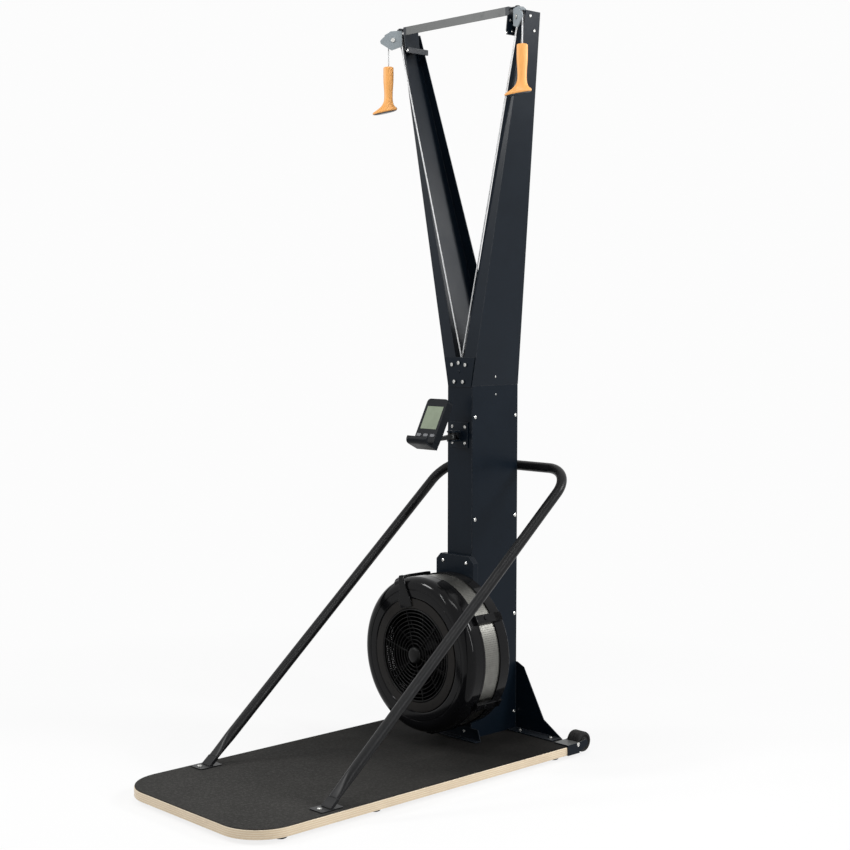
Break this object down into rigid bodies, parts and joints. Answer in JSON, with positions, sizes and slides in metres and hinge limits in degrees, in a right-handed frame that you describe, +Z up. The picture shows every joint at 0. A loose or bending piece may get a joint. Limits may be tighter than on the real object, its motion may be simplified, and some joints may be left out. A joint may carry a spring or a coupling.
{
  "type": "ski trainer",
  "caption": "Free-standing ski trainer: plywood deck, column with two splayed arms, swivelling pulley heads, pull handles, fan flywheel, handrail and console.",
  "frame": {"origin": "on the floor under the middle of the outer box", "axes": "+X to the user's right, +Y away from the user, +Z up"},
  "size_m": [0.6066, 1.2658, 2.167],
  "materials": {
    "frame_paint": "satin powder coat",
    "plywood": "clear lacquer",
    "deck_rubber": "matt pebbled",
    "rubber": "matt",
    "steel": "satin",
    "block_steel": "satin",
    "tube_paint": "satin powder coat",
    "shell_plastic": "gloss",
    "black_plastic": "fine texture",
    "band_mesh": "perforated",
    "orange_grip": "soft satin",
    "cord": "braided",
    "lcd": "matt",
    "grey_button": "satin",
    "rotor_metal": "satin"
  },
  "bodies": {
    "base": {"deck_board": "plywood", "deck_mat": "deck_rubber", "foot_1": "rubber", "foot_2": "rubber", "foot_3": "rubber", "foot_4": "rubber", "foot_5": "rubber", "foot_6": "rubber", "column_front": "frame_paint", "column_rear": "frame_paint", "column_side_left": "frame_paint", "column_side_right": "frame_paint", "arm_left": "frame_paint", "arm_right": "frame_paint", "splice_plate": "frame_paint", "crossbar": "frame_paint", "cord_run_left": "cord", "cord_run_right": "cord", "rail_tube": "tube_paint", "rail_foot_left": "tube_paint", "rail_foot_right": "tube_paint", "rear_brace": "frame_paint", "front_bracket": "frame_paint", "wheel_bracket_left": "frame_paint", "wheel_bracket_right": "frame_paint", "fan_mount": "black_plastic", "fan_shell": "shell_plastic", "fan_band": "band_mesh", "fan_cover": "shell_plastic", "fan_grille": "black_plastic", "shaft_carrier": "frame_paint", "console_plate": "frame_paint"},
    "fan_wheel": {"fan_wheel": "rotor_metal"},
    "damper": {"fan_damper": "shell_plastic"},
    "block_left": {"pulley_block_left": "block_steel", "head_axle_left": "steel", "cord_wrap_left": "cord", "cord_drop_left": "cord"},
    "head_pulley_left": {"head_pulley_left": "black_plastic"},
    "handle_left": {"handle_left": "orange_grip"},
    "guide_left": {"guide_pulley_left": "black_plastic"},
    "drum_left": {"cord_drum_left": "black_plastic"},
    "wheel_left": {"wheel_left": "rubber"},
    "block_right": {"pulley_block_right": "block_steel", "head_axle_right": "steel", "cord_wrap_right": "cord", "cord_drop_right": "cord"},
    "head_pulley_right": {"head_pulley_right": "black_plastic"},
    "handle_right": {"handle_right": "orange_grip"},
    "guide_right": {"guide_pulley_right": "black_plastic"},
    "drum_right": {"cord_drum_right": "black_plastic"},
    "wheel_right": {"wheel_right": "rubber"},
    "console_arm": {"console_arm": "frame_paint"},
    "console": {"console_housing": "black_plastic", "console_screen": "lcd"},
    "button_1": {"console_button_1": "grey_button"},
    "button_2": {"console_button_2": "grey_button"},
    "button_3": {"console_button_3": "grey_button"}
  },
  "joints": [
    {"name": "fan_spin", "type": "hinge", "parent": "base", "child": "fan_wheel", "pos_m": [0, 0.272, 0.313], "axis": [0, 1, 0], "continuous": true},
    {"name": "damper_turn", "type": "hinge", "parent": "base", "child": "damper", "pos_m": [0, 0.192, 0.313], "axis": [0, 1, 0], "range_deg": [-30, 30]},
    {"name": "block_swivel_left", "type": "hinge", "parent": "base", "child": "block_left", "pos_m": [-0.2418, 0.355, 2.133], "axis": [0, 0, 1], "range_deg": [-20, 45]},
    {"name": "pull_left", "type": "slide", "parent": "block_left", "child": "handle_left", "axis": [0, 0, -1], "range_m": [0, 1.1], "stiffness_N_per_m": 8, "springref_m": -0.6, "deforming": ["cord_drop_left"]},
    {"name": "head_pulley_spin_left", "type": "hinge", "parent": "block_left", "child": "head_pulley_left", "pos_m": [-0.25931, 0.34619, 2.133], "axis": [0.4493, -0.8934, 0], "continuous": true},
    {"name": "guide_spin_left", "type": "hinge", "parent": "base", "child": "guide_left", "pos_m": [0, 0.3781, 1.137], "axis": [0, 1, 0], "continuous": true},
    {"name": "drum_spin_left", "type": "hinge", "parent": "base", "child": "drum_left", "pos_m": [0, 0.394, 0.313], "axis": [0, 1, 0], "continuous": true},
    {"name": "wheel_spin_left", "type": "hinge", "parent": "base", "child": "wheel_left", "pos_m": [-0.2746, 0.603, 0.038], "axis": [1, 0, 0], "continuous": true},
    {"name": "block_swivel_right", "type": "hinge", "parent": "base", "child": "block_right", "pos_m": [0.2418, 0.355, 2.133], "axis": [0, 0, 1], "range_deg": [-45, 20]},
    {"name": "pull_right", "type": "slide", "parent": "block_right", "child": "handle_right", "axis": [0, 0, -1], "range_m": [0, 1.1], "stiffness_N_per_m": 8, "springref_m": -0.6, "deforming": ["cord_drop_right"]},
    {"name": "head_pulley_spin_right", "type": "hinge", "parent": "block_right", "child": "head_pulley_right", "pos_m": [0.25931, 0.34619, 2.133], "axis": [0.4493, 0.8934, 0], "continuous": true},
    {"name": "guide_spin_right", "type": "hinge", "parent": "base", "child": "guide_right", "pos_m": [0, 0.3842, 1.137], "axis": [0, 1, 0], "continuous": true},
    {"name": "drum_spin_right", "type": "hinge", "parent": "base", "child": "drum_right", "pos_m": [0, 0.422, 0.313], "axis": [0, 1, 0], "continuous": true},
    {"name": "wheel_spin_right", "type": "hinge", "parent": "base", "child": "wheel_right", "pos_m": [0.2746, 0.603, 0.038], "axis": [1, 0, 0], "continuous": true},
    {"name": "console_swivel", "type": "hinge", "parent": "base", "child": "console_arm", "pos_m": [-0.008, 0.347, 0.946], "axis": [0, 0, 1], "range_deg": [-50, 50]},
    {"name": "console_tilt", "type": "hinge", "parent": "console_arm", "child": "console", "pos_m": [0, 0.26641, 0.93884], "axis": [1, 0, 0], "range_deg": [-20, 20]},
    {"name": "button_press_1", "type": "slide", "parent": "console", "child": "button_1", "axis": [0, 0.8944, -0.4472], "range_m": [0, 0.0012], "stiffness_N_per_m": 400, "springref_m": -0.0005},
    {"name": "button_press_2", "type": "slide", "parent": "console", "child": "button_2", "axis": [0, 0.8944, -0.4472], "range_m": [0, 0.0012], "stiffness_N_per_m": 400, "springref_m": -0.0005},
    {"name": "button_press_3", "type": "slide", "parent": "console", "child": "button_3", "axis": [0, 0.8944, -0.4472], "range_m": [0, 0.0012], "stiffness_N_per_m": 400, "springref_m": -0.0005}
  ],
  "couplings": [
    {"joint": "head_pulley_spin_left", "follows": "pull_left", "rad_per_m": 51.02},
    {"joint": "guide_spin_left", "follows": "pull_left", "rad_per_m": -83.333},
    {"joint": "drum_spin_left", "follows": "pull_left", "rad_per_m": -31.201},
    {"joint": "head_pulley_spin_right", "follows": "pull_right", "rad_per_m": 51.02},
    {"joint": "guide_spin_right", "follows": "pull_right", "rad_per_m": 83.333},
    {"joint": "drum_spin_right", "follows": "pull_right", "rad_per_m": 31.201}
  ]
}
